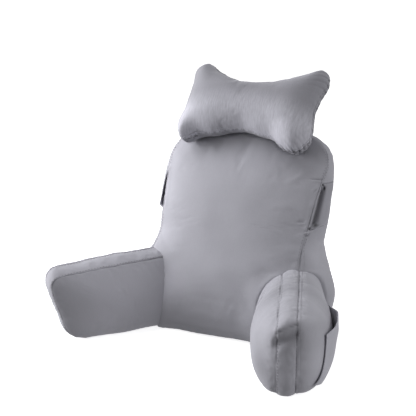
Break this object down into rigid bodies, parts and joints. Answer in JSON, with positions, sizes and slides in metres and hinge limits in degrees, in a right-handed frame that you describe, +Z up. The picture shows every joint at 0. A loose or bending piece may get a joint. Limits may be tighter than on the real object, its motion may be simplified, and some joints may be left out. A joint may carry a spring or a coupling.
{
  "type": "reading pillow with arms",
  "caption": "Grey velvet reading pillow with a reclined backrest, two arms, cloth pockets and a bone-shaped neck pillow.",
  "frame": {"origin": "on the floor under the middle of the backrest", "axes": "+X to the right as seen from the front, -Y the way the pillow faces, +Z up"},
  "size_m": [0.7371, 0.5423, 0.6549],
  "materials": {
    "plush": "short-pile velvet, soft sheen",
    "pillow_plush": "short-pile velvet, brushed lengthwise",
    "pocket_cloth": "short-pile velvet, matt inside"
  },
  "bodies": {
    "root": {"backrest": "plush", "arm_left": "plush", "arm_right": "plush", "neck_pillow": "pillow_plush", "side_pocket_left": "pocket_cloth", "side_pocket_right": "pocket_cloth", "arm_pocket_left": "pocket_cloth", "arm_pocket_right": "pocket_cloth"}
  },
  "joints": []
}
